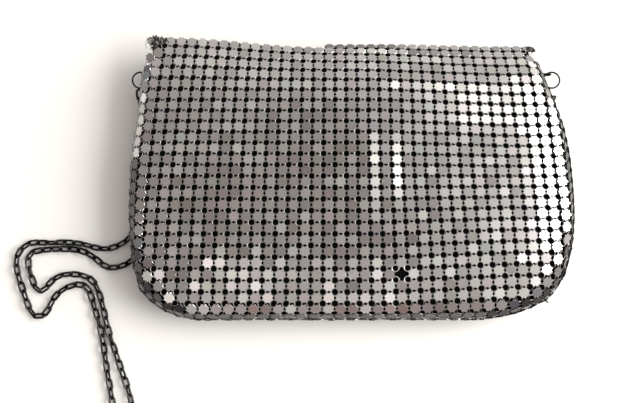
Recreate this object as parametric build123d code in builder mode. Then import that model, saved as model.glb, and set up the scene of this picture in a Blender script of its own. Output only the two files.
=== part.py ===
"""A mesh evening bag with a hinged frame and a long chain strap, lying on its back.

X runs across the bag, Y from its bottom to its mouth, Z up from the surface that it lies on.
The origin is on that surface, under the middle of the bag. Lengths are in millimetres.
"""
from build123d import *
import os
from math import cos, pi, radians, sin

# Driving dimensions of the pouch.
half_width = 99.5
half_height = 61.5
rim_height = 12.0
front_rise = 12.0
front_roll = 10.0
mouth_roll = 20.0
back_roll = 44.0
dome_bands = 5
side_arcs = 8
mouth_runs = 12
bottom_runs = 8
mesh_thickness = 1.5
lining_thickness = 0.7
layer_gap = 0.2

# The left and the right edge of the pouch, from the mouth down to the bottom.
left_edge = [
    (-87.0, 61.5),
    (-88.8, 51.0),
    (-91.4, 43.5),
    (-97.0, 23.0),
    (-99.5, -12.0),
    (-97.4, -38.0),
    (-91.0, -52.5),
    (-79.0, -59.6),
    (-62.0, -61.5),
]
right_edge = [
    (80.6, 61.5),
    (83.2, 51.5),
    (87.0, 43.5),
    (94.0, 28.0),
    (98.8, 2.0),
    (99.5, -16.0),
    (95.0, -41.0),
    (85.5, -53.6),
    (68.0, -60.0),
    (48.0, -61.5),
]

# The frame's hinge line, and the angles round it where the front's parts begin and end.
hinge_y = 48.5
hinge_z = rim_height
frame_middle = -2.4
lip_angle = 40.0
body_angle = 140.0
split_gap = 0.4
rivet_hole_radius = 1.6

# Frame bars, their legs and the rivets, measured out from the frame's middle.
bar_depth = 2.8
bar_outer_y = 55.4
bar_height = 2.0
front_bar_bottom = rim_height + 0.8
back_bar_bottom = rim_height - 2.8
ear_radius = 3.2
head_span = (72.8, 73.6)
front_leg_span = (73.8, 75.4)
washer_span = (75.6, 76.2)
back_leg_span = (76.4, 78.0)
collar_span = (88.0, 88.6)
rivet_radius = 1.2
rivet_clearance = 0.05
rivet_head_radius = 2.2
washer_radius = 2.8

# Closure magnets, on the inner side of each bar.
magnet_length = 26.0
magnet_depth = 2.6
magnet_height = 2.4
magnet_gap = 0.8

# Strap ring and the lug that it hangs in.
lug_wire_radius = 0.5
lug_height = 3.0
lug_bar_span = 92.4
ring_radius = 3.6
ring_wire_radius = 0.4
ring_play = 0.1
ring_tilt = 15.0

# Chain strap: its width, and the points that its two runs follow from ring to coil.
chain_diameter = 3.1
floor_z = 1.6
coil_middle = (-132.5, -139.0)
coil_radius = 27.8
left_route = [
    (-96.6, 41.6, 9.8),
    (-96.6, 38.2, 7.4),
    (-95.6, 34.0, 4.6),
    (-94.2, 28.6, 2.4),
    (-92.8, 21.6, floor_z),
    (-92.2, 11.0, floor_z),
    (-92.4, -1.6, floor_z),
    (-94.0, -11.6, floor_z),
    (-97.4, -20.2, floor_z),
    (-102.6, -26.4, floor_z),
    (-108.8, -29.8, floor_z),
    (-114.6, -30.4, floor_z),
    (-121.6, -28.2, floor_z),
    (-130.0, -27.0, floor_z),
    (-139.0, -27.6, floor_z),
    (-146.6, -27.0, floor_z),
    (-151.8, -30.6, floor_z),
    (-153.6, -36.0, floor_z),
    (-152.4, -42.6, floor_z),
    (-149.8, -50.0, floor_z),
    (-147.4, -56.8, floor_z),
    (-144.8, -61.0, floor_z),
    (-140.2, -60.6, floor_z),
    (-137.8, -56.4, floor_z),
    (-135.2, -51.4, floor_z),
    (-130.6, -48.0, floor_z),
    (-125.2, -46.2, floor_z),
    (-121.0, -48.6, floor_z),
    (-119.6, -54.0, floor_z),
    (-117.8, -61.0, floor_z),
    (-115.2, -68.6, floor_z),
    (-113.4, -77.6, floor_z),
    (-111.4, -87.0, floor_z),
    (-109.4, -95.4, floor_z),
    (-108.2, -104.0, floor_z),
    (-107.2, -114.0, floor_z),
    (-107.4, -126.5, floor_z),
]
right_route = [
    (91.8, 41.6, 9.8),
    (92.8, 38.9, 7.0),
    (91.8, 38.2, 4.0),
    (88.4, 39.8, 2.0),
    (83.0, 43.0, floor_z),
    (72.0, 47.2, floor_z),
    (54.0, 50.2, floor_z),
    (23.0, 51.8, floor_z),
    (-20.0, 51.2, floor_z),
    (-55.0, 52.0, floor_z),
    (-74.0, 49.2, floor_z),
    (-84.5, 40.6, floor_z),
    (-88.4, 27.6, floor_z),
    (-88.0, 10.0, floor_z),
    (-88.6, -7.0, floor_z),
    (-90.8, -19.6, floor_z),
    (-94.8, -29.4, floor_z),
    (-101.0, -36.4, floor_z),
    (-107.6, -39.0, floor_z),
    (-112.8, -38.4, floor_z),
    (-118.2, -34.6, floor_z),
    (-123.0, -31.8, floor_z),
    (-130.6, -30.7, floor_z),
    (-139.0, -31.3, floor_z),
    (-145.2, -31.2, floor_z),
    (-148.5, -33.8, floor_z),
    (-149.4, -37.4, floor_z),
    (-148.2, -42.0, floor_z),
    (-146.7, -45.6, floor_z),
    (-145.6, -48.9, floor_z),
    (-142.5, -50.6, floor_z),
    (-139.2, -49.2, floor_z),
    (-137.8, -45.8, floor_z),
    (-134.6, -42.8, floor_z),
    (-130.0, -41.4, floor_z),
    (-122.4, -41.2, floor_z),
    (-117.6, -44.2, floor_z),
    (-115.7, -51.4, floor_z),
    (-113.7, -60.8, floor_z),
    (-111.0, -69.8, floor_z),
    (-107.6, -78.0, floor_z),
    (-104.2, -87.0, floor_z),
    (-101.0, -95.4, floor_z),
    (-99.2, -104.6, floor_z),
    (-99.8, -115.0, floor_z),
    (-102.0, -126.0, floor_z),
    (-105.0, -137.0, floor_z),
]

os.makedirs("parts", exist_ok=True)


def keep(piece, name):
    """Label a finished piece and write it under its own name."""
    piece.label = name
    export_step(piece, f"parts/{name}.step")


def side_stops(points, lean):
    """Points along the smooth curve through one side's points, two for each arc."""
    curve = Spline(points, tangents=((lean, -1), (-1 if lean > 0 else 1, 0)), mode=Mode.PRIVATE)
    stops = [curve @ (k / (2 * side_arcs)) for k in range(2 * side_arcs + 1)]
    return [(stop.X, stop.Y) for stop in stops]


left_stops = side_stops(left_edge, -0.1)
right_stops = side_stops(right_edge, 0.1)


def straight(start, end, runs):
    """A straight line in several equal runs."""
    for run in range(runs):
        near, far = run / runs, (run + 1) / runs
        Line(
            (start[0] + (end[0] - start[0]) * near, start[1] + (end[1] - start[1]) * near),
            (start[0] + (end[0] - start[0]) * far, start[1] + (end[1] - start[1]) * far),
        )


def outline_wire(inset, mouth_inset):
    """Draw the pouch's outline, pulled in at the sides and bottom, and at the mouth."""
    across = 1 - inset / half_width
    along = 1 - (inset + mouth_inset) / (2 * half_height)
    shift = (inset - mouth_inset) / 2
    left = [(x * across, y * along + shift) for x, y in left_stops]
    right = [(x * across, y * along + shift) for x, y in right_stops]
    straight(left[0], right[0], mouth_runs)
    straight(right[-1], left[-1], bottom_runs)
    for side in (left, right):
        for k in range(0, 2 * side_arcs, 2):
            ThreePointArc(side[k], side[k + 1], side[k + 2])


def dome(rim_inset, roll, top_roll, rise):
    """A solid that rolls in over the outline in quarter ellipses, up or down to a flat crown."""
    with BuildPart(mode=Mode.PRIVATE) as solid:
        for band in range(dome_bands + 1):
            turn = radians(90 * band / dome_bands)
            inset = rim_inset + (roll - rim_inset) * (1 - cos(turn))
            mouth_inset = rim_inset + (top_roll - rim_inset) * (1 - cos(turn))
            with BuildSketch(Plane.XY.offset(rim_height + rise * sin(turn))):
                with BuildLine():
                    outline_wire(inset, mouth_inset)
                make_face()
        loft(ruled=True)
    return solid.part


def shell(depth, thickness, roll, top_roll, rise):
    """The skin of a dome whose outside lies depth inside the pouch's outermost surface."""
    direction = 1 if rise > 0 else -1
    inner_depth = depth + thickness
    outside = dome(depth, roll, top_roll, rise - direction * depth)
    inside = dome(inner_depth, roll, top_roll, rise - direction * inner_depth)
    return outside - inside


def hinge_plane(angle, gap=0.0):
    """A plane through the hinge line, at an angle up from the mouth, shifted by gap."""
    turn = radians(angle)
    plane = Plane(
        origin=(0, hinge_y, hinge_z), x_dir=(1, 0, 0), z_dir=(0, -sin(turn), cos(turn))
    )
    return plane.offset(gap)


def rivet_holes(radius=rivet_hole_radius):
    """Cut the way for both rivets through the open part."""
    with Locations((0, hinge_y, hinge_z)):
        Cylinder(radius, 2 * half_width + 10, rotation=(0, 90, 0), mode=Mode.SUBTRACT)


def front_body(skin):
    """The part of a front skin that stays with the pouch."""
    with BuildPart() as piece:
        add(skin)
        split(bisect_by=hinge_plane(body_angle), keep=Keep.TOP)
        rivet_holes()
    return piece.part


def front_fold(skin):
    """The part of a front skin that folds up between the pouch and the frame's lip."""
    with BuildPart() as piece:
        add(skin)
        split(bisect_by=hinge_plane(body_angle, -split_gap), keep=Keep.BOTTOM)
        split(bisect_by=hinge_plane(lip_angle, split_gap), keep=Keep.TOP)
        split(bisect_by=Plane.XY.offset(rim_height + split_gap), keep=Keep.TOP)
        rivet_holes()
    return piece.part


def front_lip(skin):
    """The part of a front skin that is fixed to the frame's front bar."""
    with BuildPart() as piece:
        add(skin)
        split(bisect_by=hinge_plane(lip_angle), keep=Keep.BOTTOM)
        split(bisect_by=Plane.XY.offset(rim_height + split_gap), keep=Keep.TOP)
        rivet_holes()
    return piece.part


# --- Ring mesh skin ---
mesh_front_skin = shell(0, mesh_thickness, front_roll, mouth_roll, front_rise)
keep(front_body(mesh_front_skin), "mesh_front")
keep(front_fold(mesh_front_skin), "mesh_front_fold")
keep(front_lip(mesh_front_skin), "mesh_front_lip")

with BuildPart() as mesh_back:
    add(shell(0, mesh_thickness, back_roll, back_roll, -rim_height))
    rivet_holes()
keep(mesh_back.part, "mesh_back")

# --- Lining, just inside the mesh ---
lining_depth = mesh_thickness + layer_gap
lining_front_skin = shell(lining_depth, lining_thickness, front_roll, mouth_roll, front_rise)
keep(front_body(lining_front_skin), "lining_front")
keep(front_fold(lining_front_skin), "lining_front_fold")
keep(front_lip(lining_front_skin), "lining_front_lip")

with BuildPart() as lining_back:
    add(shell(lining_depth, lining_thickness, back_roll, back_roll, -rim_height))
    rivet_holes()
keep(lining_back.part, "lining_back")


# --- Hinged frame ---
def disc(side, span, radius):
    """Add a disc on the hinge line, over a span measured out from the frame's middle."""
    inner, outer = span
    with Locations((frame_middle + side * (inner + outer) / 2, hinge_y, hinge_z)):
        Cylinder(radius, outer - inner, rotation=(0, 90, 0))


def frame_half(bar_bottom, leg_span, hole_radius):
    """A bar across the mouth with a leg at each end, and an ear on each leg for the rivet."""
    bar_middle_y = bar_outer_y - bar_depth / 2
    leg_length = bar_outer_y - hinge_y
    leg_middle = (leg_span[0] + leg_span[1]) / 2
    with BuildPart() as piece:
        with BuildSketch(Plane.XY.offset(bar_bottom)):
            with Locations((frame_middle, bar_middle_y)):
                Rectangle(2 * leg_span[1], bar_depth)
            for side in (-1, 1):
                with Locations((frame_middle + side * leg_middle, hinge_y + leg_length / 2)):
                    Rectangle(leg_span[1] - leg_span[0], leg_length)
        extrude(amount=bar_height)
        for side in (-1, 1):
            disc(side, leg_span, ear_radius)
        rivet_holes(hole_radius)
    return piece.part


running_hole = rivet_radius + rivet_clearance
keep(frame_half(front_bar_bottom, front_leg_span, running_hole), "frame_front")
keep(frame_half(back_bar_bottom, back_leg_span, rivet_radius), "frame_back")

# --- Closure magnets ---
magnet_middle_y = bar_outer_y - bar_depth - magnet_depth / 2
for name, bottom in (
    ("magnet_back", rim_height - magnet_gap / 2 - magnet_height),
    ("magnet_front", rim_height + magnet_gap / 2),
):
    with BuildPart() as magnet:
        with BuildSketch(Plane.XY.offset(bottom)):
            with Locations((frame_middle, magnet_middle_y)):
                Rectangle(magnet_length, magnet_depth)
        extrude(amount=magnet_height)
        fillet(magnet.edges().filter_by(Axis.Z), radius=0.8)
    keep(magnet.part, name)

# --- Rivets, washers, lugs and strap rings, one of each on either side ---
for side, side_name in ((-1, "left"), (1, "right")):
    with BuildPart() as rivet:
        disc(side, head_span, rivet_head_radius)
        disc(side, (head_span[0], collar_span[1]), rivet_radius)
    keep(rivet.part, f"hinge_rivet_{side_name}")

    with BuildPart() as washer:
        disc(side, washer_span, washer_radius)
        rivet_holes(running_hole)
    keep(washer.part, f"hinge_washer_{side_name}")

    collar_x = frame_middle + side * collar_span[1]
    bar_x = frame_middle + side * lug_bar_span
    lug_low = (collar_x, hinge_y, hinge_z - lug_height / 2)
    lug_low_corner = (bar_x, hinge_y, hinge_z - lug_height / 2)
    lug_high_corner = (bar_x, hinge_y, hinge_z + lug_height / 2)
    lug_high = (collar_x, hinge_y, hinge_z + lug_height / 2)
    with BuildPart() as lug:
        with BuildLine() as lug_line:
            FilletPolyline(lug_low, lug_low_corner, lug_high_corner, lug_high, radius=0.9)
        with BuildSketch(Plane(origin=lug_low, z_dir=(side, 0, 0))):
            Circle(lug_wire_radius)
        sweep(path=lug_line.line)
        disc(side, collar_span, lug_height / 2 + lug_wire_radius)
        rivet_holes(rivet_radius)
    keep(lug.part, f"ring_lug_{side_name}")

    reach = ring_radius - ring_wire_radius - lug_wire_radius - ring_play
    ring_x = bar_x + side * reach * sin(radians(ring_tilt))
    ring_y = hinge_y - reach * cos(radians(ring_tilt))
    with BuildPart() as strap_ring:
        with Locations((ring_x, ring_y, hinge_z)):
            Torus(ring_radius, ring_wire_radius)
    keep(strap_ring.part, f"strap_ring_{side_name}")


# --- Chain strap ---
def corner_radii(route):
    """The largest arc that each corner's two runs allow."""
    points = [Vector(*point) for point in route]
    radii = []
    for before, corner, after in zip(points, points[1:], points[2:]):
        run_in = corner - before
        run_out = after - corner
        half_turn = radians(run_in.get_angle(run_out) / 2)
        radii.append(0.45 * min(run_in.length, run_out.length) * cos(half_turn) / sin(half_turn))
    return radii


def chain_run(route, name):
    """A plain round tube along one run of the chain."""
    radii = corner_radii(route)
    with BuildPart() as piece:
        with BuildLine() as path:
            FilletPolyline(*route, radius=radii)
        with BuildSketch(Plane(origin=path.line @ 0, z_dir=path.line % 0)):
            Circle(chain_diameter / 2)
        sweep(path=path.line)
    length = path.wires()[0].length
    section = pi * chain_diameter**2 / 4
    print(name, "length", round(length, 1), "radii", [round(r, 1) for r in radii])
    print(name, "volume", round(piece.part.volume), "section by length", round(section * length))
    keep(piece.part, name)


chain_run(left_route, "chain_left_run")
chain_run(right_route, "chain_right_run")

with BuildPart() as chain_coil:
    with BuildSketch(Plane.XY.offset(floor_z - chain_diameter / 2)):
        with Locations(coil_middle):
            Circle(coil_radius)
    extrude(amount=chain_diameter)
    fillet(chain_coil.edges(), radius=1.2)
keep(chain_coil.part, "chain_coil")
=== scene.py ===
"""Looks of a ring mesh evening bag that lies on its back with its chain strap beside it."""
import math

import bpy
import numpy as np
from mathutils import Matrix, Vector
from mathutils.geometry import convex_hull_2d


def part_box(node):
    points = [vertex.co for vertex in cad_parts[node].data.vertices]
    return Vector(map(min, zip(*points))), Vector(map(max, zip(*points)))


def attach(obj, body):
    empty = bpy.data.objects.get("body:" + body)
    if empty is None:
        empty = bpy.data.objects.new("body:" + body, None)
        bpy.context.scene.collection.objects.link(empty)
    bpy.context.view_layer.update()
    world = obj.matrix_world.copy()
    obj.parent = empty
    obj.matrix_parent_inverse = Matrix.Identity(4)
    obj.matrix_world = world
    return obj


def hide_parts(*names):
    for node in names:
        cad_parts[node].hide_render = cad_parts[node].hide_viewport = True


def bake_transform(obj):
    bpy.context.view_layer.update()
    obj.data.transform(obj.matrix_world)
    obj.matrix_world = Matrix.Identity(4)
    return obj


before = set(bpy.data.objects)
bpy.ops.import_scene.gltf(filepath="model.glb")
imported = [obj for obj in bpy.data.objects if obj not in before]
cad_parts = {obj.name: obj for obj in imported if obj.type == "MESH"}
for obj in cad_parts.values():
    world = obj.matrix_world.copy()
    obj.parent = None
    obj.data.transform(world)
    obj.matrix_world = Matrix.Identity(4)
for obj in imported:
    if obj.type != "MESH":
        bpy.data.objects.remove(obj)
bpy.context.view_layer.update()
MM = 0.001
rng = np.random.default_rng(7)

# ---------------------------------------------------------------- measures, in millimetres
back_low, back_high = (np.array(c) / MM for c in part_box("mesh_back"))
RIM_Z = back_high[2]
CROWN_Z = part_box("mesh_front")[1][2] / MM
HALF_WIDTH = (back_high[0] - back_low[0]) / 2
HALF_HEIGHT = (back_high[1] - back_low[1]) / 2
TILE_PITCH = 5.1
ROW_PITCH = 5.0
HINGE_Y = 48.5

# ---------------------------------------------------------------- camera
CAMERA_HEIGHT = 500.0
CAMERA_TILT = math.radians(3.0)
VIEW_MIDDLE = Vector((-14.2, -9.0, RIM_Z)) * MM
PICTURE_WIDTH = 288.0  # how much of the rim's plane the picture spans
SENSOR_WIDTH = 36


def add_camera():
    """A camera nearly straight above the bag, leaning a little toward its mouth."""
    distance = (CAMERA_HEIGHT - RIM_Z) * MM
    data = bpy.data.cameras.new("camera")
    data.sensor_width = SENSOR_WIDTH
    data.lens = SENSOR_WIDTH * distance / (PICTURE_WIDTH * MM)
    data.clip_start = 0.01
    camera = bpy.data.objects.new("camera", data)
    bpy.context.scene.collection.objects.link(camera)
    back = Vector((0, -math.sin(CAMERA_TILT), math.cos(CAMERA_TILT)))
    camera.location = VIEW_MIDDLE + back * distance
    camera.rotation_euler = (CAMERA_TILT, 0, 0)
    bpy.context.scene.camera = camera


add_camera()


# ---------------------------------------------------------------- mesh helpers
def new_mesh(name, vertices, faces, material, smooth=False):
    """A mesh object from arrays of points in millimetres and of faces."""
    mesh = bpy.data.meshes.new(name)
    mesh.from_pydata((np.asarray(vertices) * MM).tolist(), [], faces)
    mesh.update()
    if smooth:
        mesh.polygons.foreach_set("use_smooth", [True] * len(mesh.polygons))
    mesh.materials.append(material)
    piece = bpy.data.objects.new(name, mesh)
    bpy.context.scene.collection.objects.link(piece)
    return piece


def unit(vectors):
    """The same vectors with length 1."""
    return vectors / np.linalg.norm(vectors, axis=-1, keepdims=True)


def tube_faces(rings, around, closed):
    """Quads between rings of points, each with the same number around."""
    faces = []
    for r in range(rings if closed else rings - 1):
        here, there = r * around, ((r + 1) % rings) * around
        for k in range(around):
            nxt = (k + 1) % around
            faces.append((here + k, here + nxt, there + nxt, there + k))
    return faces


def indexed(faces, base):
    """The faces with base added to every index."""
    return [tuple(base + k for k in face) for face in faces]


def wire_loop(centreline, radius, around, up):
    """Points of a closed round wire along a flat loop whose normal is up."""
    along = unit(np.roll(centreline, -1, axis=0) - np.roll(centreline, 1, axis=0))
    side = unit(np.cross(along, up))
    turns = np.linspace(0, 2 * math.pi, around, endpoint=False)
    across, over = np.cos(turns)[None, :, None], np.sin(turns)[None, :, None]
    section = side[:, None] * across + up * over
    return (centreline[:, None] + radius * section).reshape(-1, 3)


# ---------------------------------------------------------------- materials
GRAIN_DEPTH = 0.0001


def nodes_of(material):
    """The material's node tree and its shader."""
    tree = material.node_tree
    return tree, tree.nodes["Principled BSDF"]


def new_material(name, color, metallic, roughness):
    """A material with its uniform values on the shader's own sockets."""
    material = bpy.data.materials.new(name)
    material.use_nodes = True
    tree, shader = nodes_of(material)
    shader.inputs["Base Color"].default_value = (*color, 1)
    shader.inputs["Metallic"].default_value = metallic
    shader.inputs["Roughness"].default_value = roughness
    return material


def add_grain(material, scale, strength):
    """Fine surface relief from noise."""
    tree, shader = nodes_of(material)
    place = tree.nodes.new("ShaderNodeTexCoord")
    noise = tree.nodes.new("ShaderNodeTexNoise")
    noise.inputs["Scale"].default_value = scale
    noise.inputs["Detail"].default_value = 3.0
    bump = tree.nodes.new("ShaderNodeBump")
    bump.inputs["Strength"].default_value = strength
    bump.inputs["Distance"].default_value = GRAIN_DEPTH
    tree.links.new(place.outputs["Object"], noise.inputs["Vector"])
    tree.links.new(noise.outputs["Fac"], bump.inputs["Height"])
    tree.links.new(bump.outputs["Normal"], shader.inputs["Normal"])


def add_tone(material, dark, light, noise_scale):
    """Colour that wanders between two tones."""
    tree, shader = nodes_of(material)
    ramp = tree.nodes.new("ShaderNodeValToRGB")
    ramp.color_ramp.elements[0].position = 0.35
    ramp.color_ramp.elements[1].position = 0.65
    ramp.color_ramp.elements[0].color = (*dark, 1)
    ramp.color_ramp.elements[1].color = (*light, 1)
    place = tree.nodes.new("ShaderNodeTexCoord")
    source = tree.nodes.new("ShaderNodeTexNoise")
    source.inputs["Scale"].default_value = noise_scale
    tree.links.new(place.outputs["Object"], source.inputs["Vector"])
    tree.links.new(source.outputs["Fac"], ramp.inputs["Fac"])
    tree.links.new(ramp.outputs["Color"], shader.inputs["Base Color"])


def tile_metal():
    """Pewter-toned plate: each disc has its own tone, darkened by painted shade on some, with fine
    scuffs.
    """
    material = new_material("tile_metal", (0.6, 0.59, 0.57), 1.0, 0.2)
    tree, shader = nodes_of(material)
    own = tree.nodes.new("ShaderNodeAttribute")
    own.attribute_name = "tone"
    tree.links.new(own.outputs["Color"], shader.inputs["Base Color"])
    add_grain(material, 900, 0.12)
    return material


def ring_metal():
    """Plate of the small joining rings, duller as painted shade for their place under the discs.
    """
    material = new_material("ring_metal", (0.5, 0.49, 0.48), 1.0, 0.3)
    add_tone(material, (0.32, 0.31, 0.3), (0.56, 0.55, 0.54), 300)
    return material


def thread():
    """Black sewing thread with a twist that shows as fine relief."""
    material = new_material("sewing_thread", (0.005, 0.005, 0.005), 0.0, 0.8)
    add_tone(material, (0.003, 0.003, 0.003), (0.014, 0.012, 0.011), 900)
    add_grain(material, 4000, 0.4)
    return material


def gunmetal():
    """Dark plate of the chain and the strap rings, worn lighter in patches."""
    material = new_material("gunmetal", (0.05, 0.05, 0.05), 1.0, 0.22)
    add_tone(material, (0.008, 0.008, 0.01), (0.06, 0.058, 0.057), 260)
    add_grain(material, 1500, 0.2)
    return material


def satin():
    """Black lining satin with a fine weave."""
    material = new_material("lining_satin", (0.0015, 0.0015, 0.0015), 0.0, 0.85)
    add_tone(material, (0.001, 0.001, 0.001), (0.003, 0.0028, 0.0028), 400)
    add_grain(material, 2500, 0.3)
    tree, shader = nodes_of(material)
    shader.inputs["Specular IOR Level"].default_value = 0.04
    return material


def brushed(name, color, roughness):
    """Plain worked metal of the frame's inner parts."""
    material = new_material(name, color, 1.0, roughness)
    add_grain(material, 700, 0.25)
    return material


TILE = tile_metal()
RING = ring_metal()
# The four bare rings keep the plate's full brightness, without the joining rings' painted shade.
BRIGHT = brushed("bare_ring_metal", (0.8, 0.79, 0.77), 0.3)
THREAD = thread()
DARK = gunmetal()
LINING = satin()
FRAME_STEEL = brushed("frame_steel", (0.42, 0.41, 0.4), 0.35)
NICKEL = brushed("magnet_nickel", (0.6, 0.6, 0.61), 0.25)


# ---------------------------------------------------------------- chain strap
FLOOR_Z = 1.6
LINK_PITCH = 4.1
LINK_WIRE = 1.02
LINK_WIDTH = 3.5
LINK_LEAN = 45
LINK_LOOSENESS = 0.12
LINK_SIDES = 7
COIL_MIDDLE = np.array([-132.5, -139.0])
COIL_OUTER = 24.5
COIL_STEP = 6.6
COIL_TURNS = 1.75
POINTS_PER_TURN = 16
LEFT_ROUTE = [
    (-96.6, 41.6, 9.8),
    (-96.6, 38.2, 7.4),
    (-95.6, 34.0, 4.6),
    (-94.2, 28.6, 2.4),
    (-92.8, 21.6, FLOOR_Z),
    (-92.2, 11.0, FLOOR_Z),
    (-92.4, -1.6, FLOOR_Z),
    (-94.0, -11.6, FLOOR_Z),
    (-97.4, -20.2, FLOOR_Z),
    (-102.6, -26.4, FLOOR_Z),
    (-108.8, -29.8, FLOOR_Z),
    (-114.6, -30.4, FLOOR_Z),
    (-121.6, -28.2, FLOOR_Z),
    (-130.0, -27.0, FLOOR_Z),
    (-139.0, -27.6, FLOOR_Z),
    (-146.6, -27.0, FLOOR_Z),
    (-151.8, -30.6, FLOOR_Z),
    (-153.6, -36.0, FLOOR_Z),
    (-152.4, -42.6, FLOOR_Z),
    (-149.8, -50.0, FLOOR_Z),
    (-147.4, -56.8, FLOOR_Z),
    (-144.8, -61.0, FLOOR_Z),
    (-140.2, -60.6, FLOOR_Z),
    (-137.8, -56.4, FLOOR_Z),
    (-135.2, -51.4, FLOOR_Z),
    (-130.6, -48.0, FLOOR_Z),
    (-125.2, -46.2, FLOOR_Z),
    (-120.6, -47.6, FLOOR_Z),
    (-118.7, -52.2, FLOOR_Z),
    (-116.7, -59.0, FLOOR_Z),
    (-114.5, -66.0, FLOOR_Z),
    (-112.9, -74.4, FLOOR_Z),
    (-111.4, -85.0, FLOOR_Z),
    (-109.4, -95.4, FLOOR_Z),
    (-108.2, -104.0, FLOOR_Z),
    (-107.2, -114.0, FLOOR_Z),
    (-107.4, -126.5, FLOOR_Z),
]
RIGHT_ROUTE = [
    (91.8, 41.6, 9.8),
    (92.8, 38.9, 7.0),
    (91.8, 38.2, 4.0),
    (88.4, 39.8, 2.0),
    (83.0, 43.0, FLOOR_Z),
    (72.0, 47.2, FLOOR_Z),
    (54.0, 50.2, FLOOR_Z),
    (23.0, 51.8, FLOOR_Z),
    (-20.0, 51.2, FLOOR_Z),
    (-55.0, 52.0, FLOOR_Z),
    (-74.0, 49.2, FLOOR_Z),
    (-84.5, 40.6, FLOOR_Z),
    (-88.4, 27.6, FLOOR_Z),
    (-88.0, 10.0, FLOOR_Z),
    (-88.6, -7.0, FLOOR_Z),
    (-90.8, -19.6, FLOOR_Z),
    (-94.8, -29.4, FLOOR_Z),
    (-101.0, -36.4, FLOOR_Z),
    (-107.6, -39.0, FLOOR_Z),
    (-112.8, -38.4, FLOOR_Z),
    (-118.2, -33.6, FLOOR_Z),
    (-123.5, -30.9, FLOOR_Z),
    (-130.2, -30.1, FLOOR_Z),
    (-139.4, -30.5, FLOOR_Z),
    (-145.8, -31.4, FLOOR_Z),
    (-148.0, -34.3, FLOOR_Z),
    (-147.6, -38.4, FLOOR_Z),
    (-146.4, -42.6, FLOOR_Z),
    (-145.2, -46.2, FLOOR_Z),
    (-143.6, -48.9, FLOOR_Z),
    (-141.1, -49.5, FLOOR_Z),
    (-138.7, -47.0, FLOOR_Z),
    (-136.4, -44.2, FLOOR_Z),
    (-133.0, -42.4, FLOOR_Z),
    (-128.9, -41.6, FLOOR_Z),
    (-121.6, -42.4, FLOOR_Z),
    (-117.2, -45.8, FLOOR_Z),
    (-114.6, -52.0, FLOOR_Z),
    (-112.6, -60.4, FLOOR_Z),
    (-110.8, -68.2, FLOOR_Z),
    (-107.6, -77.0, FLOOR_Z),
    (-104.2, -87.0, FLOOR_Z),
    (-101.0, -95.4, FLOOR_Z),
    (-99.2, -104.6, FLOOR_Z),
    (-99.8, -115.0, FLOOR_Z),
    (-102.0, -126.0, FLOOR_Z),
    (-105.0, -137.0, FLOOR_Z),
]


def coil_points():
    """Both strands wound in clockwise side by side, joined by an S through the middle."""
    def strand(outer, turns):
        """One strand's turns, from the outside in."""
        steps = int(turns * POINTS_PER_TURN)
        points = []
        for step in range(1, steps + 1):
            turn = -2 * math.pi * step / POINTS_PER_TURN
            radius = outer - COIL_STEP * step / POINTS_PER_TURN
            x, y = COIL_MIDDLE + radius * np.array([math.cos(turn), math.sin(turn)])
            points.append((x, y, FLOOR_Z))
        return points

    def bend(turns, side):
        """Half of the S, round a small circle that touches the coil's middle."""
        angles = [math.radians(turn) for turn in turns]
        return [(small * math.cos(a), side * small + small * math.sin(a)) for a in angles]

    left = strand(COIL_OUTER, COIL_TURNS)
    right = strand(COIL_OUTER + COIL_STEP / 2, COIL_TURNS + 0.5)
    small = (COIL_OUTER - COIL_STEP * COIL_TURNS) / 2
    crossing = bend((45, 0, -45), 1) + [(0.0, 0.0)] + bend((135, 180, 225), -1)
    middle = [(*(COIL_MIDDLE + np.array(p)), FLOOR_Z) for p in crossing]
    return left + middle + right[::-1]


def smooth_line(points):
    """The points along a NURBS spline with these control points, in millimetres."""
    curve = bpy.data.curves.new("route", "CURVE")
    curve.dimensions = "3D"
    curve.resolution_u = 10
    spline = curve.splines.new("NURBS")
    spline.points.add(len(points) - 1)
    for point, place in zip(spline.points, points):
        point.co = (*(c * MM for c in place), 1)
    spline.order_u = 3
    spline.use_endpoint_u = True
    holder = bpy.data.objects.new("route", curve)
    bpy.context.scene.collection.objects.link(holder)
    mesh = bpy.data.meshes.new_from_object(holder)
    line = np.array([v.co for v in mesh.vertices]) / MM
    bpy.data.objects.remove(holder)
    return line


def running_length(line):
    """How far along the line each of its points is."""
    return np.concatenate([[0], np.cumsum(np.linalg.norm(np.diff(line, axis=0), axis=1))])


def points_at(stops, reach, line):
    """The points of a line at these distances along it, given its running length."""
    columns = [np.interp(stops, reach, line[:, k]) for k in range(line.shape[1])]
    return np.stack(columns, axis=1)


def along_line(line, spacing):
    """Places and directions at an even spacing along a line, and the line's length."""
    reach = running_length(line)
    count = int(reach[-1] / spacing)
    stops = spacing / 2 + spacing * np.arange(count)
    places = points_at(stops, reach, line)
    ahead = points_at(stops + spacing / 2, reach, line)
    behind = points_at(stops - spacing / 2, reach, line)
    return places, unit(ahead - behind), reach[-1]


def link_outline(points_per_end=7):
    """A chain link's centreline in its own plane: two straights and two half circles."""
    bend = (LINK_WIDTH - LINK_WIRE) / 2
    straight = (LINK_PITCH + LINK_WIRE) / 2 - bend
    turns = np.linspace(-math.pi / 2, math.pi / 2, points_per_end)
    end = np.stack([straight + bend * np.cos(turns), bend * np.sin(turns)], axis=1)
    return np.concatenate([end, -end])


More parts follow.
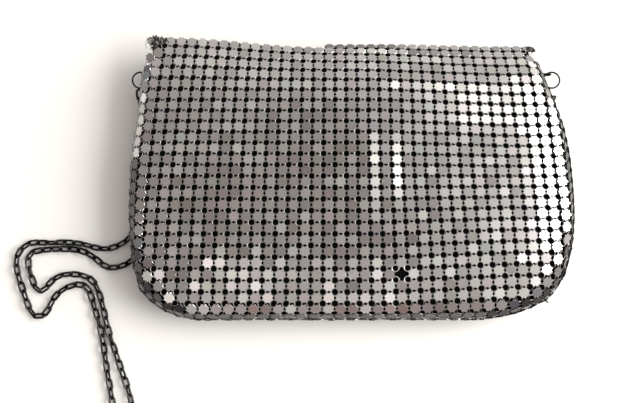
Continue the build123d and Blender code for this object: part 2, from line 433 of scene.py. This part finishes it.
def chain():
    """Linked oval wire links, each turned a quarter from the next, along the whole strap."""
    line = smooth_line(LEFT_ROUTE + coil_points() + RIGHT_ROUTE[::-1])
    places, directions, length = along_line(line, LINK_PITCH)
    outline = link_outline()
    around = tube_faces(len(outline), LINK_SIDES, closed=True)
    vertices, faces = [], []
    for number, (place, direction) in enumerate(zip(places, directions)):
        lean = math.radians(LINK_LEAN if number % 2 else -LINK_LEAN)
        lean += rng.normal(0, LINK_LOOSENESS)
        side = unit(np.cross(np.array([0, 0, 1.0]), direction))
        up = np.cross(direction, side)
        flat = side * math.cos(lean) + up * math.sin(lean)
        normal = np.cross(direction, flat)
        centreline = place + outline[:, :1] * direction + outline[:, 1:] * flat
        vertices.append(wire_loop(centreline, LINK_WIRE / 2, LINK_SIDES, normal))
        faces += indexed(around, len(outline) * LINK_SIDES * number)
    piece = new_mesh("chain_strap", np.concatenate(vertices), faces, DARK, smooth=True)
    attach(piece, "pouch")
    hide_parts("chain_left_run", "chain_right_run", "chain_coil")


chain()


# ---------------------------------------------------------------- pouch surface
# The ends of the mouth and the mesh's shoulders below them, each list from the mouth down.
LEFT_SHOULDER = [(-89.8, 68.0), (-89.8, 54.5), (-91.4, 50.5), (-94.2, 45.4), (-95.4, 37.0)]
RIGHT_SHOULDER = [(80.6, 68.0), (81.0, 55.5), (85.0, 49.8), (90.2, 38.4)]
SHOULDER_Y = 30.0
RIM_POINTS = 360
SPARE = 25.0  # how far the outline runs on past each end of the mouth
# Left of this the mouth's last row of discs hangs upright under the lip.
TOP_ROW_STARTS = -12.0
RISE = 12.0  # of the crown over the rim


def rim_outline():
    """The pouch's rim as points from the mouth's left end round the bottom to its right end."""
    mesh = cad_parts["mesh_back"].data
    points = np.array([v.co for v in mesh.vertices]) / MM
    flat = points[points[:, 2] > RIM_Z - 0.01][:, :2]
    hull = flat[convex_hull_2d([tuple(p) for p in flat])]
    hull = hull[hull[:, 1] < SHOULDER_Y]
    turn = (np.arctan2(hull[:, 1], hull[:, 0]) - math.pi / 2) % (2 * math.pi)
    outline = np.vstack([LEFT_SHOULDER, hull[np.argsort(turn)], RIGHT_SHOULDER[::-1]])
    runs = running_length(outline)
    return points_at(np.linspace(0, runs[-1], RIM_POINTS), runs, outline)


RIM = rim_outline()


def inset_outline(inset):
    """The rim's outline pulled in at the sides and bottom, and carried on past the mouth."""
    across = 1 - inset / HALF_WIDTH
    along = 1 - inset / (2 * HALF_HEIGHT)
    outline = RIM * (across, along) + (0, inset / 2)
    left = outline[0] + unit(outline[0] - outline[6]) * SPARE
    right = outline[-1] + unit(outline[-1] - outline[-7]) * SPARE
    return np.vstack([left, outline, right])


def quarter_arc(depth, rise, last):
    """Arc length along an ellipse from its crown against the angle turned."""
    angle = np.linspace(0, last, 60)
    speed = np.sqrt((depth * np.cos(angle)) ** 2 + (rise * np.sin(angle)) ** 2)
    length = np.concatenate([[0], np.cumsum((speed[1:] + speed[:-1]) / 2 * np.diff(angle))])
    return angle, length


def roll_over(reach, depth, rise, last):
    """Plan distance, drop and share of the turn for points that run over a rolled edge."""
    angle, length = quarter_arc(depth, rise, last)
    turn = np.interp(reach, length, angle)
    beyond = np.clip(reach - length[-1], 0, None)
    slope = np.array([depth * math.cos(last), rise * math.sin(last)])
    slope /= np.linalg.norm(slope)
    plan = np.where(reach <= 0, reach, depth * np.sin(turn) + slope[0] * beyond)
    drop = np.where(reach <= 0, 0, rise * (1 - np.cos(turn)) + slope[1] * beyond)
    return plan, drop, np.clip(reach, 0, None) / length[-1]


class Skin:
    """One side of the pouch: a crown whose edges roll over to the rim.

    facing is 1 for the front and -1 for the back, and depth is how far inside the discs it lies.
    """

    def __init__(self, side_roll, mouth_roll, mouth_rise, mouth_turn, facing, depth=0.0):
        self.crown = inset_outline(side_roll)
        self.rim = inset_outline(0.0)
        self.side_roll = side_roll
        self.mouth = (mouth_roll, mouth_rise, mouth_turn)
        self.mouth_start = HALF_HEIGHT - mouth_roll * math.sin(mouth_turn)
        self.facing = facing
        self.depth = depth
        # How far the mouth hangs below the rim, and the share of its turn where the discs end.
        self.overhang, self.mouth_last = (1.5, 1.06) if facing > 0 else (0.0, 0.93)

    def side_reach(self, points):
        """How far outside the crown each flat point lies, and the way to the rim from there."""
        start, stop = self.crown[:-1], self.crown[1:]
        run = stop - start
        offset = points[:, None] - start[None]
        share = np.clip((offset * run).sum(-1) / (run * run).sum(-1), 0, 1)
        nearest = start + share[..., None] * run
        gap = np.linalg.norm(points[:, None] - nearest, axis=-1)
        pick = gap.argmin(1)
        row = np.arange(len(points))
        cross = run[pick, 0] * offset[row, pick, 1] - run[pick, 1] * offset[row, pick, 0]
        reach = np.where(cross > 0, -gap[row, pick], gap[row, pick])
        share, nearest = share[row, pick][:, None], nearest[row, pick]
        outward = self.rim[pick] + share * (self.rim[pick + 1] - self.rim[pick]) - nearest
        return reach, nearest, outward

    def place(self, flat):
        """Where flat points lie on the skin, and how far round the mouth and the sides."""
        plan, mouth_drop, mouth_share = roll_over(flat[:, 1] - self.mouth_start, *self.mouth)
        points = np.stack([flat[:, 0], self.mouth_start + plan], axis=1)
        reach, nearest, outward = self.side_reach(points)
        left_over = np.clip(1 - 0.85 * mouth_drop / RISE, 0.25, 1)
        start = (1 - left_over) * np.linalg.norm(outward, axis=1)
        angle, length = quarter_arc(self.side_roll, RISE, math.pi / 2)
        rolled = np.clip(reach - start, 0, None) / left_over
        turn = np.interp(rolled, length, angle)
        swing = (1 - left_over + left_over * np.sin(turn))[:, None]
        placed = np.where((rolled > 0)[:, None], nearest + outward * swing, points)
        side_drop = left_over * RISE * (1 - np.cos(turn))
        # The larger of the two drops, rounded where they meet.
        drop = (np.clip(mouth_drop, 0, None) ** 6 + side_drop**6) ** (1 / 6)
        height = np.clip(RISE - drop - self.depth, -self.overhang, None)
        inward = 1 - self.depth / 90
        placed = np.column_stack([placed * inward, RIM_Z + self.facing * height])
        return placed, np.column_stack([mouth_share, rolled / length[-1]])


MOUTH_LIFT, MOUTH_DIP = 4.2, 0.5  # of the mouth's left end, and of the rest
BOTTOM_SINK, SIDE_SINK = 1.6, 1.1


def settle(points):
    """The slack of the front: a raised left end of the mouth, a sunken edge and ripples."""
    x, y, z = points.T
    moved = points.copy()
    crown = np.clip((z - RIM_Z) / (CROWN_Z - RIM_Z), 0, 1)
    mouth = np.clip((y - 36) / 26, 0, 1.1)
    left = 0.5 - 0.5 * np.tanh((x + 48) / 30)
    bottom = np.clip((-12 - y) / 42, 0, 1) ** 3
    sides = np.clip((np.abs(x) - 48) / 40, 0, 1) ** 2
    moved[:, 1] += mouth**1.4 * (MOUTH_LIFT * left - MOUTH_DIP * (1 - left))
    moved[:, 2] += 0.85 * left * np.clip(mouth, 0, 1) * (CROWN_Z - z)
    moved[:, 2] -= crown * BOTTOM_SINK * bottom
    moved[:, 2] -= crown * SIDE_SINK * sides
    ripples = 0.4 * np.sin(x / 15.0 + y / 45.0) + 0.25 * np.sin(y / 11.0 - x / 50.0)
    moved[:, 2] += crown * ripples
    return moved


def stay(points):
    """No slack."""
    return points


# ---------------------------------------------------------------- ring mesh
def front_grid(columns, rows):
    """Flat places of the front's grid: columns fan out downward, rows crowd toward the mouth."""
    pitch = 5.13 + 0.027 * rows - 0.0005 * rows**2
    # Columns near the 12th are drawn to the left, most of all half way up.
    pinch = 1.1 * np.exp(-(((columns - 12) / 5) ** 2)) * np.exp(-(((rows + 1) / 6) ** 2))
    x = -6.6 + (columns - 3.2) * pitch - pinch
    up, down = np.clip(-rows, 0, None), np.clip(rows, 0, None)
    y = 1.7 + 4.97 * up - 0.022 * up**2 - 5.1 * down
    # At the right the rows crowd toward the middle one.
    right = np.clip((columns - 7) / 11, 0, 1)
    y += 2.2 * right * np.tanh(rows / 4)
    return np.stack([x, y], axis=-1)


def back_grid(columns, rows):
    """Flat places of the back's grid, evenly spaced and seen from below."""
    return np.stack([(4.5 - columns) * TILE_PITCH, 1.7 - rows * ROW_PITCH], axis=-1)


# Small folds of the front: middle column and row, their spreads, and the lean right and up.
FOLDS = (
    (6.5, -0.8, 0.45, 3.6, 0.17, 0.0),
    (8.5, -0.8, 0.45, 3.6, 0.17, 0.0),
    (18.5, -6.8, 5.0, 2.4, 0.05, 0.14),
    (-9.0, 8.6, 9.0, 1.6, 0.0, -0.075),
    (10.0, 8.6, 9.0, 1.6, -0.03, -0.05),
    (22.9, 0.0, 3.2, 11.0, 0.2, 0.0),
)


def front_lean(columns, rows):
    """How far the front's discs lean right and up in its folds, and at random near the bottom."""
    loose = 0.035 * np.clip((rows - 5) / 3, 0, 1)
    lean = rng.normal(0, 1, (len(columns), 2)) * loose[:, None]
    for column, row, wide, high, right, up in FOLDS:
        share = np.exp(-(((columns - column) / wide) ** 4) - ((rows - row) / high) ** 4)
        lean += share[:, None] * (right, up)
    return lean


def no_lean(columns, rows):
    """No folds."""
    return np.zeros((len(columns), 2))


def disc_outline(side, notch, corner):
    """A disc's outline for a pitch of 1, with notched sides and hollow corners."""
    quarter = [
        (-0.5 + corner, -side),
        (-notch, -side),
        (-0.6 * notch, -side + 0.75 * notch),
        (0.6 * notch, -side + 0.75 * notch),
        (notch, -side),
        (0.5 - corner, -side),
        (0.5 - 0.86 * corner, -0.5 + 0.46 * corner),
        (0.5 - 0.46 * corner, -0.5 + 0.86 * corner),
    ]
    points = []
    for turn in range(4):
        c, s = round(math.cos(turn * math.pi / 2)), round(math.sin(turn * math.pi / 2))
        points += [(x * c - y * s, x * s + y * c) for x, y in quarter]
    return np.array(points)


# A disc's outlines from its face down: each outline, and its level in millimetres.
DISC_LAYERS = (
    (disc_outline(0.456, 0.1, 0.33), 0.0),
    (disc_outline(0.468, 0.09, 0.315), -0.12),
    (disc_outline(0.468, 0.09, 0.315), -0.42),
)
DISC_LOOSENESS = 0.02
DISC_TONE, TONE_SPREAD, TINT_SPREAD = 0.64, 0.07, 0.01
DISC_TINT = (0.018, 0.0, -0.01)
LINK_RADIUS = 0.285  # of a ring, for a pitch of 1
LINK_WIRE_RADIUS, LINK_DEPTH = 0.14, 0.45
BARE_WIRE_RADIUS, BARE_DEPTH = 0.19, 0.48
RIGHT_EDGE = 60.0  # right of this the mesh's outer discs get the darkest painted shade


def build_discs(name, middle, along, across, tilt, painted_shade):
    """Discs at these middles, sized by their cells, each with its own lean and tone, darkened by
    painted shade.
    """
    width = np.clip(np.linalg.norm(along, axis=1), 0.9 * TILE_PITCH, 1.08 * TILE_PITCH)
    height = np.clip(np.linalg.norm(across, axis=1), 0.88 * ROW_PITCH, 1.06 * ROW_PITCH)
    normal = unit(np.cross(along, across))
    lean = rng.normal(0, DISC_LOOSENESS, (len(middle), 2)) - tilt
    along = unit(unit(along) + lean[:, :1] * normal)
    across = unit(np.cross(normal, along) + lean[:, 1:] * normal)
    normal = unit(np.cross(along, across))
    layers = []
    for outline, level in DISC_LAYERS:
        spread = along[:, None] * (outline[None, :, :1] * width[:, None, None])
        spread = spread + across[:, None] * (outline[None, :, 1:] * height[:, None, None])
        layers.append(middle[:, None] + spread + level * normal[:, None])
    vertices = np.concatenate(layers, axis=1).reshape(-1, 3)
    count = len(DISC_LAYERS[0][0])
    faces = []
    for number in range(len(middle)):
        base = number * count * len(DISC_LAYERS)
        faces.append(tuple(base + k for k in range(count)))
        for layer in range(len(DISC_LAYERS) - 1):
            upper, lower = base + layer * count, base + (layer + 1) * count
            for k in range(count):
                nxt = (k + 1) % count
                faces.append((upper + k, lower + k, lower + nxt, upper + nxt))
    piece = new_mesh(name, vertices, faces, TILE)
    tone = np.clip(rng.normal(DISC_TONE, TONE_SPREAD, (len(middle), 1)), 0.3, 0.9)
    tint = rng.normal(0, TINT_SPREAD, (len(middle), 3)) + np.array(DISC_TINT)
    # Each disc's tone, darkened by its painted shade, is stored as its colour.
    color = np.clip((tone + tint) * (1 - painted_shade[:, None]), 0, 1)
    color = np.column_stack([color, np.ones(len(middle))])
    per_face = np.repeat(color, 1 + count * (len(DISC_LAYERS) - 1), axis=0)
    per_corner = np.repeat(per_face, [len(face) for face in faces], axis=0)
    stored = piece.data.attributes.new("tone", "FLOAT_COLOR", "CORNER")
    stored.data.foreach_set("color", per_corner.astype(np.float32).ravel())
    return piece


def cell_frames(skin, grid, slack, columns, rows):
    """Middle, right way, up way and share of the turn for cells of the grid, on the skin."""
    steps = ((0, 0), (0.5, 0), (-0.5, 0), (0, 0.5), (0, -0.5))
    middle, right, left, down, top = (
        slack(skin.place(grid(columns + a, rows + b))[0]) for a, b in steps
    )
    share = skin.place(grid(columns, rows))[1]
    return middle, right - left, top - down, share


def beside_ring(points):
    """Whether each point of the front lies right beside the left strap ring."""
    x, y = points[:, 0], points[:, 1]
    return (x < -92.4) & (y > 41.5) & (y < 52.0)


def away_from_ring(points):
    """Whether each point of the front lies clear of the left strap ring."""
    return ~beside_ring(points)


def disc_painted_shade(places, share):
    """How much painted shade darkens the discs: most where they turn round the sides and over the
    mouth.
    """
    x, y = places[:, 0], places[:, 1]
    upper_left = (x < 0) & (y > 10)
    side_painted_shade = np.where(upper_left, 0.2, np.where(x > RIGHT_EDGE, 0.96, 0.85))
    painted_shade = side_painted_shade * np.clip((share[:, 1] - 0.14) / 0.14, 0, 1)
    return np.maximum(painted_shade, 0.8 * np.clip((share[:, 0] - 0.95) / 0.05, 0, 1))


def disc_cells(columns, rows):
    """The column and row of every disc of a grid."""
    c, r = np.meshgrid(np.arange(*columns) + 0.5, np.arange(*rows) + 0.5)
    return c.ravel(), r.ravel()


def far_from(places, spot, pitches):
    """Whether each place is more than this many pitches from a spot, seen from above."""
    return np.linalg.norm(places[:, :2] - spot, axis=1) > pitches * TILE_PITCH


def hang_top_row(middle, across, top_row):
    """The front's last row: upright under the lip at the left, and coming up right of that."""
    under = (top_row & (middle[:, 0] < TOP_ROW_STARTS))[:, None]
    hung = middle - 0.5 * across - (0, 0.4, 0.5 * ROW_PITCH)
    middle = np.where(under, hung, middle)
    across = np.where(under, (0, 0, -ROW_PITCH), across)
    tucked = ~under[:, 0] * top_row * np.clip(1 - (middle[:, 0] - TOP_ROW_STARTS) / 30, 0, 1)
    return middle - tucked[:, None] * (0.25 * across + (0, 0, 0.5)), across


def disc_piece(name, skin, grid, slack, folds, columns, rows, missing=None, part=None):
    """The discs of one side of the pouch.

    missing is the place of a disc that the front lacks, and part says which discs belong.
    """
    c, r = disc_cells(columns, rows)
    middle, along, across, share = cell_frames(skin, grid, slack, c, r)
    keep = (share[:, 0] < skin.mouth_last) & (share[:, 1] < 1.03)
    top_row = r < -13
    if missing is not None:
        keep &= far_from(middle, missing, 0.55)
        middle, across = hang_top_row(middle, across, top_row)
    if part is not None:
        keep &= part(middle)
    painted_shade = disc_painted_shade(middle, share)
    # The last row, hung upright under the lip, gets painted shade.
    if missing is not None:
        painted_shade = np.maximum(painted_shade, 0.55 * top_row)
    tilt = folds(c, r)
    return build_discs(name, middle[keep], along[keep], across[keep], tilt[keep], painted_shade[keep])


def no_longer_than(vectors, most):
    """The vectors, with the long ones shortened to this length."""
    return unit(vectors) * np.minimum(np.linalg.norm(vectors, axis=1), most)[:, None]


def build_rings(name, middle, along, across, wire, depth, material):
    """Round wire rings under these places, sized by their cells."""
    sides, steps = 5, 16
    normal = unit(np.cross(along, across))
    along = no_longer_than(along, 1.1 * TILE_PITCH)
    across = no_longer_than(across, 1.1 * ROW_PITCH)
    turns = np.linspace(0, 2 * math.pi, steps, endpoint=False)
    vertices, faces = [], []
    for number in range(len(middle)):
        circle = np.outer(np.cos(turns), along[number]) + np.outer(np.sin(turns), across[number])
        centreline = middle[number] + LINK_RADIUS * circle - depth * normal[number]
        vertices.append(wire_loop(centreline, wire, sides, normal[number]))
        faces += indexed(tube_faces(steps, sides, closed=True), number * steps * sides)
    return new_mesh(name, np.concatenate(vertices), faces, material, smooth=True)


def link_piece(name, skin, grid, slack, columns, rows, missing=None):
    """The small rings that join four discs at every corner."""
    c, r = np.meshgrid(np.arange(*columns).astype(float), np.arange(*rows).astype(float))
    c, r = c.ravel(), r.ravel()
    middle, along, across, share = cell_frames(skin, grid, slack, c, r)
    keep = share.max(axis=1) < min(skin.mouth_last, 1.0)
    if missing is not None:
        keep &= far_from(middle, missing, 0.8)
        keep &= r > np.where(middle[:, 0] > TOP_ROW_STARTS, -13.5, -12.5)
    middle, along, across = middle[keep], along[keep], across[keep]
    return build_rings(name, middle, along, across, LINK_WIRE_RADIUS, LINK_DEPTH, RING)


def bare_rings():
    """The four rings that show where a disc of the front is missing."""
    c, r = disc_cells(FRONT_COLUMNS, FRONT_ROWS)
    middle = cell_frames(FRONT, front_grid, settle, c, r)[0]
    gone = np.linalg.norm(middle[:, :2] - MISSING_TILE, axis=1).argmin()
    columns = c[gone] + np.array([-0.5, 0.5, 0.5, -0.5])
    rows = r[gone] + np.array([-0.5, -0.5, 0.5, 0.5])
    middle, along, across, _ = cell_frames(FRONT, front_grid, settle, columns, rows)
    wire, depth = BARE_WIRE_RADIUS, BARE_DEPTH
    return build_rings("bare_rings", middle, along, across, wire, depth, BRIGHT)


def flat_place(x, y):
    """A flat place given by itself."""
    return np.stack([x, y], axis=-1)


def round_thread(line, radius, sides):
    """Points of a round thread along an open line."""
    along = unit(np.gradient(line, axis=0))
    side = unit(np.cross(along, (0.3, 0.2, 0.9)))
    up = np.cross(along, side)
    turns = np.linspace(0, 2 * math.pi, sides, endpoint=False)
    across, over = np.cos(turns)[None, :, None], np.sin(turns)[None, :, None]
    section = side[:, None] * across + up[:, None] * over
    return (line[:, None] + radius * section).reshape(-1, 3)


# The loose thread's bends, from the first stitch on.
THREAD_BENDS = (
    (0, 0, 0.6),
    (-1.8, 0.6, 0.4),
    (-3.6, -0.4, 0.0),
    (-4.4, -2.6, -0.6),
    (-3.8, -4.4, -1.0),
)
STITCH_RADIUS, LOOSE_END_RADIUS = 0.22, 0.1
STITCH_REACH, STITCH_RISE = 1.3, 0.6
STITCH_SIDES, STITCH_STEPS = 6, 14


def corner_stitches():
    """Thread whipped over the left end of the mouth, with one end come loose."""
    over_mouth = np.column_stack([np.linspace(-88.5, -82.5, 14), np.full(14, 61.0)])
    down_side = np.column_stack([np.full(9, -88.5), np.linspace(60.5, 57.0, 9)])
    spots = np.vstack([over_mouth, down_side])
    spots = spots + rng.normal(0, 0.5, spots.shape)
    middle, along, across, _ = cell_frames(FRONT, flat_place, settle, *spots.T)
    along, across = unit(along), unit(across)
    normal = np.cross(along, across)
    turns = np.linspace(0, 2 * math.pi, STITCH_STEPS, endpoint=False)
    around = tube_faces(STITCH_STEPS, STITCH_SIDES, closed=True)
    vertices, faces = [], []
    for number in range(len(spots)):
        lean = rng.uniform(-0.7, 0.7)
        over_edge, down_edge = across[number], along[number]
        if number >= len(over_mouth):
            over_edge, down_edge = down_edge, over_edge
        long_way = math.cos(lean) * over_edge + math.sin(lean) * down_edge
        loop = np.outer(np.cos(turns), STITCH_REACH * long_way)
        loop = loop + np.outer(np.sin(turns), STITCH_RISE * normal[number])
        axis = np.cross(long_way, normal[number])
        vertices.append(wire_loop(middle[number] + loop, STITCH_RADIUS, STITCH_SIDES, axis))
        faces += indexed(around, number * STITCH_STEPS * STITCH_SIDES)
    line = smooth_line([middle[0] + np.array(bend) for bend in THREAD_BENDS])
    base = sum(len(part) for part in vertices)
    vertices.append(round_thread(line, LOOSE_END_RADIUS, STITCH_SIDES))
    faces += indexed(tube_faces(len(line), STITCH_SIDES, closed=False), base)
    return new_mesh("corner_stitches", np.concatenate(vertices), faces, THREAD, smooth=True)


LINING_DEPTH, LINING_STEP = 1.3, 3.0


def lining_sheet(name, skin, slack):
    """The lining as one cloth just under the discs. The front's leaves room for the left ring."""
    xs, ys = np.arange(-123, 124, LINING_STEP), np.arange(-90, 91, LINING_STEP)
    gx, gy = np.meshgrid(xs, ys)
    placed, share = skin.place(np.stack([gx.ravel(), gy.ravel()], axis=1))
    placed = slack(placed)
    # At the left the cloth stops a little earlier over the mouth.
    share = share.max(axis=1) + 0.1 * (placed[:, 0] < TOP_ROW_STARTS) * share[:, 0]
    last = 1.0
    if skin.facing > 0:
        share = share + beside_ring(placed - (1.5, 0, 0))
        last = 1.06
    width = len(xs)
    faces = []
    for row in range(len(ys) - 1):
        for col in range(width - 1):
            first = row * width + col
            corners = (first, first + 1, first + width + 1, first + width)
            if max(share[k] for k in corners) < last:
                faces.append(corners if skin.facing > 0 else corners[::-1])
    used = sorted({k for face in faces for k in face})
    number = {k: n for n, k in enumerate(used)}
    faces = [tuple(number[k] for k in face) for face in faces]
    return new_mesh(name, placed[used], faces, LINING, smooth=True)


MISSING_TILE = np.array([22.0, -40.0])
FRONT_COLUMNS, FRONT_ROWS = (-19, 28), (-14, 15)
BACK_COLUMNS, BACK_ROWS = (-19, 28), (-15, 16)
FRONT_SHAPE = (6.5, 27.0, 20.0, math.radians(60), 1)
BACK_SHAPE = (44.0, 44.0, 12.0, math.pi / 2, -1)
FRONT, FRONT_UNDER = Skin(*FRONT_SHAPE), Skin(*FRONT_SHAPE, LINING_DEPTH)
BACK, BACK_UNDER = Skin(*BACK_SHAPE), Skin(*BACK_SHAPE, LINING_DEPTH)
in_front = (FRONT, front_grid, settle)
front_span = (FRONT_COLUMNS, FRONT_ROWS, MISSING_TILE)
front_discs = disc_piece("mesh_front_discs", *in_front, front_lean, *front_span, away_from_ring)
shoulder_discs = disc_piece("mesh_shoulder_discs", *in_front, front_lean, *front_span, beside_ring)
front_links = link_piece("mesh_front_links", *in_front, *front_span)
front_bare = bare_rings()
front_stitches = corner_stitches()
front_lining = lining_sheet("lining_front_sheet", FRONT_UNDER, settle)
for piece in (front_discs, front_links, front_bare, front_stitches, front_lining):
    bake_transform(piece)
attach(shoulder_discs, "pouch")
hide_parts("mesh_front", "mesh_front_fold", "mesh_front_lip")
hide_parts("lining_front", "lining_front_fold", "lining_front_lip")

at_back, back_span = (BACK, back_grid, stay), (BACK_COLUMNS, BACK_ROWS)
back_discs = disc_piece("mesh_back_discs", *at_back, no_lean, *back_span)
back_links = link_piece("mesh_back_links", *at_back, *back_span)
back_lining = lining_sheet("lining_back_sheet", BACK_UNDER, stay)
for piece in (back_discs, back_links, back_lining):
    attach(piece, "pouch")
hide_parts("mesh_back")
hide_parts("lining_back")


EDGE_OUT = 0.35  # how far the row stands outside the rim
EDGE_LOOSENESS = 0.04
RING_ROOM = 4.5  # how far below the hinges the row ends


def edge_discs():
    """One row of discs that stands round the rim and hides where front and back meet."""
    runs = running_length(RIM)
    stops = np.arange(TILE_PITCH / 2, runs[-1], TILE_PITCH)
    here, before, after = (points_at(stops + k, runs, RIM) for k in (0, -1, 1))
    along = np.column_stack([unit(after - before), np.zeros(len(stops))])
    outward = np.cross(along, (0, 0, 1.0))
    middle = np.column_stack([here, np.full(len(stops), RIM_Z)]) + EDGE_OUT * outward
    keep = middle[:, 1] < HINGE_Y - RING_ROOM
    middle, along, outward = middle[keep], along[keep], outward[keep]
    lean = rng.normal(0.0, EDGE_LOOSENESS, (len(middle), 1))
    up = unit(np.array([0, 0, 1.0]) - outward * lean)
    tilt = np.zeros((len(middle), 2))
    # Painted shade on the upright row, darkest at the right.
    painted_shade = np.where(middle[:, 0] > RIGHT_EDGE, 0.95, 0.6)
    return build_discs("mesh_edge_discs", middle, along * TILE_PITCH, up * ROW_PITCH, tilt, painted_shade)


edge_row = edge_discs()
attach(edge_row, "pouch")


# ---------------------------------------------------------------- CAD pieces that stay
for name, material in (
    ("frame_front", FRAME_STEEL), ("frame_back", FRAME_STEEL),
    ("magnet_front", NICKEL), ("magnet_back", NICKEL),
    ("hinge_rivet_left", DARK), ("hinge_rivet_right", DARK),
    ("hinge_washer_left", DARK), ("hinge_washer_right", DARK),
    ("ring_lug_left", DARK), ("ring_lug_right", DARK),
    ("strap_ring_left", DARK), ("strap_ring_right", DARK),
):
    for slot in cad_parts[name].material_slots:
        slot.material = material


# ---------------------------------------------------------------- floor and light
def add_floor():
    """A wide pale table top."""
    size, level = 3000, -0.2
    corners = [(x * size, y * size, level) for x, y in ((-1, -1), (1, -1), (1, 1), (-1, 1))]
    table = new_material("table", (0.86, 0.84, 0.81), 0, 0.6)
    new_mesh("floor", corners, [(0, 1, 2, 3)], table)


def add_area(name, place, aim, size, power, color):
    """A soft rectangular light aimed at a point."""
    data = bpy.data.lights.new(name, "AREA")
    data.shape = "RECTANGLE"
    data.size, data.size_y = size
    data.energy = power
    data.color = color
    light = bpy.data.objects.new(name, data)
    light.location = place
    light.rotation_euler = (Vector(aim) - Vector(place)).to_track_quat("-Z", "Y").to_euler()
    bpy.context.scene.collection.objects.link(light)


def add_patch(tree, color, towards, inner, outer, patch):
    """Lay a soft round patch of light over the surround, toward one direction."""
    place = tree.nodes.new("ShaderNodeTexCoord")
    dot = tree.nodes.new("ShaderNodeVectorMath")
    dot.operation = "DOT_PRODUCT"
    dot.inputs[1].default_value = Vector(towards).normalized()
    tree.links.new(place.outputs["Generated"], dot.inputs[0])
    fade = tree.nodes.new("ShaderNodeMapRange")
    fade.interpolation_type = "SMOOTHSTEP"
    fade.inputs["From Min"].default_value = math.cos(math.radians(outer))
    fade.inputs["From Max"].default_value = math.cos(math.radians(inner))
    tree.links.new(dot.outputs["Value"], fade.inputs["Value"])
    mix = tree.nodes.new("ShaderNodeMix")
    mix.data_type = "RGBA"
    mix.inputs["B"].default_value = (*patch, 1)
    tree.links.new(fade.outputs["Result"], mix.inputs["Factor"])
    if isinstance(color, tuple):
        mix.inputs["A"].default_value = (*color, 1)
    else:
        tree.links.new(color, mix.inputs["A"])
    return mix.outputs["Result"]


def add_light():
    """A window on the right in a pale room whose ceiling above the table is duller."""
    world = bpy.data.worlds.new("surround")
    world.use_nodes = True
    tree = world.node_tree
    color = (0.2, 0.2, 0.23)
    # Each patch: the way to it, the angles where it starts to fade and ends, and its colour.
    patches = (
        ((0.0, 0.0, 1.0), 48, 70, (1.0, 0.97, 0.94)),
        ((0.0, 1.0, 0.75), 16, 42, (0.64, 0.62, 0.6)),
        ((0.5, 1.0, 0.4), 10, 26, (1.0, 0.97, 0.94)),
        ((-0.62, 0.0, 1.0), 18, 30, (0.33, 0.295, 0.285)),
        ((0.0, -0.6, 1.0), 14, 24, (0.34, 0.29, 0.28)),
        ((-0.1, -0.75, 0.85), 6, 13, (0.34, 0.22, 0.2)),
        ((-0.03, 0.12, 1.0), 14, 20, (0.52, 0.505, 0.49)),
        ((-0.09, 0.03, 1.0), 4, 9, (0.22, 0.167, 0.153)),
        ((-0.1, -0.3, 1.0), 4, 8, (1.5, 1.45, 1.41)),
        ((0.3, 0.45, 1.0), 8, 13, (1.6, 1.57, 1.52)),
        ((1.0, 0.1, 0.95), 14, 26, (2.2, 2.2, 2.15)),
    )
    for towards, inner, outer, patch in patches:
        color = add_patch(tree, color, towards, inner, outer, patch)
    background = tree.nodes["Background"]
    tree.links.new(color, background.inputs["Color"])
    background.inputs["Strength"].default_value = 1.0
    bpy.context.scene.world = world
    bpy.context.scene.view_settings.view_transform = "Standard"
    add_area(
        "window", place=(1.1, 0.15, 0.75), aim=(0, 0, 0), size=(1.3, 1.0), power=32,
        color=(1.0, 0.99, 0.97),
    )


add_floor()
add_light()
